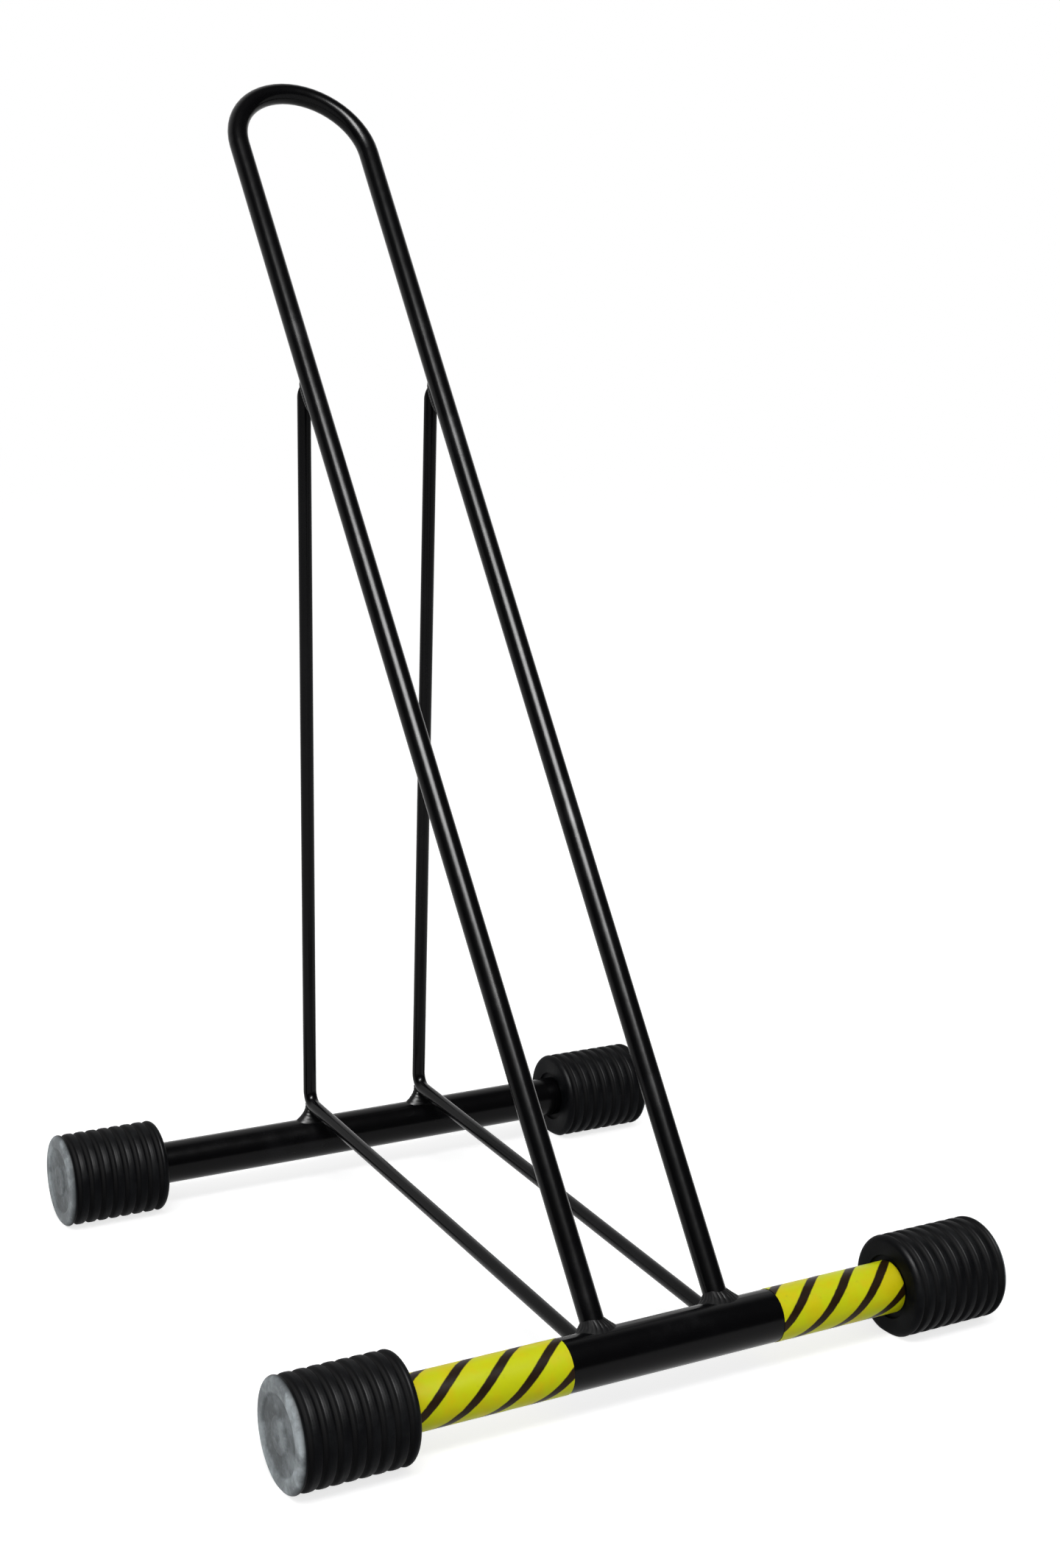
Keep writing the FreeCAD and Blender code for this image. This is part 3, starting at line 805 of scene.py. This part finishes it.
class BIKERACK_OT_striped_tape(bpy.types.Operator):
    """Wrap the striped tape round both ends of the front tube"""

    bl_idname = "bikerack.striped_tape"
    bl_label = "Striped tape"

    def execute(self, context):
        settings = context.scene.rack_tape
        sizes = {
            "left": (settings.left_start, settings.left_pitch, settings.left_lead),
            "right": (settings.right_start, settings.right_pitch, settings.right_lead),
        }
        for name, side in SIDES.items():
            start, pitch, lead = sizes[name]
            material = striped_tape(f"striped_tape_{name}", settings, hoop_middle() + start, pitch, lead)
            points, uv = tape_surface(settings, side)
            piece = surface_object(f"tape_wrap_{name}", points, material, uv=uv)
            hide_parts(f"tape_{name}")
        return {"FINISHED"}


def ray_kinds(bench):
    """Two marks: 1 for what the camera sees, and 1 for what it sees mirrored or through glass."""
    path = bench.tree.nodes.new("ShaderNodeLightPath")
    shiny = bench.math("MAXIMUM", path.outputs["Is Glossy Ray"], path.outputs["Is Transmission Ray"])
    return path.outputs["Is Camera Ray"], shiny


def add_lamp(name, place, target, size, power):
    """An oblong soft lamp that faces a point."""
    data = bpy.data.lights.new(name, "AREA")
    data.shape = "RECTANGLE"
    data.size, data.size_y = size
    data.energy = power
    lamp = bpy.data.objects.new(name, data)
    bpy.context.scene.collection.objects.link(lamp)
    turned = (target - place).to_track_quat("-Z", "Y").to_matrix().to_4x4()
    lamp.matrix_world = Matrix.Translation(place) @ turned
    return lamp


class BIKERACK_OT_stage(bpy.types.Operator):
    """Set up the pale floor, the soft light and the camera"""

    bl_idname = "bikerack.stage"
    bl_label = "Stage"

    def execute(self, context):
        settings = context.scene.rack_stage
        self.lay_floor(settings)
        self.light_room(context.scene, settings)
        self.set_camera(context.scene, settings)
        context.scene.view_settings.view_transform = "Standard"
        return {"FINISHED"}

    def lay_floor(self, settings):
        turns = ((-1, -1), (1, -1), (1, 1), (-1, 1))
        corners = [(x * FLOOR_REACH, y * FLOOR_REACH, -FLOOR_DROP) for x, y in turns]
        mesh = bpy.data.meshes.new("floor")
        mesh.from_pydata(corners, [], [(0, 1, 2, 3)])
        floor = bpy.data.objects.new("floor", mesh)
        bpy.context.scene.collection.objects.link(floor)
        material, bench, shader = new_material("pale_floor", specular=0.0, roughness=1.0)
        shader.inputs["Base Color"].default_value = tuple(settings.floor_colour)
        shader.inputs["Emission Color"].default_value = (1.0, 1.0, 1.0, 1.0)
        seen = bench.math("MAXIMUM", *ray_kinds(bench))
        bench.feed(shader.inputs["Emission Strength"], bench.math("MULTIPLY", seen, settings.floor_glow))
        mesh.materials.append(material)

    def light_room(self, scene, settings):
        world = bpy.data.worlds.new("soft_room")
        world.use_nodes = True
        scene.world = world
        bench = NodeBench(world.node_tree)
        background = world.node_tree.nodes["Background"]
        background.inputs["Color"].default_value = (1.0, 1.0, 1.0, 1.0)
        seen, shiny = ray_kinds(bench)
        split = bench.tree.nodes.new("ShaderNodeSeparateXYZ")
        bench.feed(split.inputs[0], bench.add("ShaderNodeTexCoord", {}, output="Generated"))
        mirrored = bench.between(split.outputs[1], *DIM_EDGE, settings.dim_level, 1.0)
        unseen = bench.mix(shiny, settings.room_level, mirrored)
        bench.feed(background.inputs["Strength"], bench.mix(seen, unseen, 1.0))
        tube_y = tube_line("front")[0]
        target = Vector((hoop_middle(), tube_y + LAMP_TARGET_BEHIND, LAMP_TARGET_HEIGHT))
        place = target + Vector(LAMP_DIRECTION) * LAMP_DISTANCE
        add_lamp("soft_lamp", place, target, LAMP_SIZE, settings.lamp_power)
        strip = add_lamp("strip_lamp", place, target, STRIP_SIZE, settings.strip_power)
        strip.visible_diffuse = False

    def set_camera(self, scene, settings):
        data = bpy.data.cameras.new("camera")
        data.sensor_width = 36.0
        data.lens = settings.focal_length
        data.clip_end = 100.0
        camera = bpy.data.objects.new("camera", data)
        scene.collection.objects.link(camera)
        azimuth, tilt, roll = settings.camera_azimuth, settings.camera_tilt, settings.camera_roll
        level = math.cos(tilt)
        forward = Vector((math.sin(azimuth) * level, math.cos(azimuth) * level, -math.sin(tilt)))
        right = Vector((math.cos(azimuth), -math.sin(azimuth), 0.0))
        up = right.cross(forward)
        rolled_right = right * math.cos(roll) + up * math.sin(roll)
        rolled_up = up * math.cos(roll) - right * math.sin(roll)
        turned = Matrix((rolled_right, rolled_up, -forward)).transposed().to_4x4()
        feet = Vector((hoop_middle(), tube_line("front")[0], 0.0))
        camera.matrix_world = Matrix.Translation(feet + Vector(settings.camera_place)) @ turned
        scene.camera = camera


class BIKERACK_PT_panel(bpy.types.Panel):
    """Lists the rack's pieces and their settings"""

    bl_idname = "BIKERACK_PT_panel"
    bl_label = "Floor bike rack"
    bl_space_type = "VIEW_3D"
    bl_region_type = "UI"
    bl_category = "Bike rack"

    def draw(self, context):
        for operator, group in STEPS:
            box = self.layout.box()
            box.operator(operator.bl_idname)
            settings = getattr(context.scene, group)
            for name in settings.__annotations__:
                box.prop(settings, name)


GROUPS = {
    "rack_paint": RackPaintSettings,
    "rack_frame": RackFrameSettings,
    "rack_weld": RackWeldSettings,
    "rack_cap": RackCapSettings,
    "rack_tape": RackTapeSettings,
    "rack_stage": RackStageSettings,
}
STEPS = (
    (BIKERACK_OT_painted_frame, "rack_paint"),
    (BIKERACK_OT_weld_beads, "rack_weld"),
    (BIKERACK_OT_end_caps, "rack_cap"),
    (BIKERACK_OT_striped_tape, "rack_tape"),
    (BIKERACK_OT_stage, "rack_stage"),
)


def register():
    for name, group in GROUPS.items():
        bpy.utils.register_class(group)
        setattr(bpy.types.Scene, name, PointerProperty(type=group))
    for operator, _ in STEPS:
        bpy.utils.register_class(operator)
    bpy.utils.register_class(BIKERACK_PT_panel)


def unregister():
    bpy.utils.unregister_class(BIKERACK_PT_panel)
    for operator, _ in reversed(STEPS):
        bpy.utils.unregister_class(operator)
    for name, group in reversed(GROUPS.items()):
        delattr(bpy.types.Scene, name)
        bpy.utils.unregister_class(group)


def main():
    register()
    bpy.ops.bikerack.painted_frame()
    bpy.ops.bikerack.weld_beads()
    bpy.ops.bikerack.end_caps()
    bpy.ops.bikerack.striped_tape()
    bpy.ops.bikerack.stage()


if __name__ == "__main__":
    main()
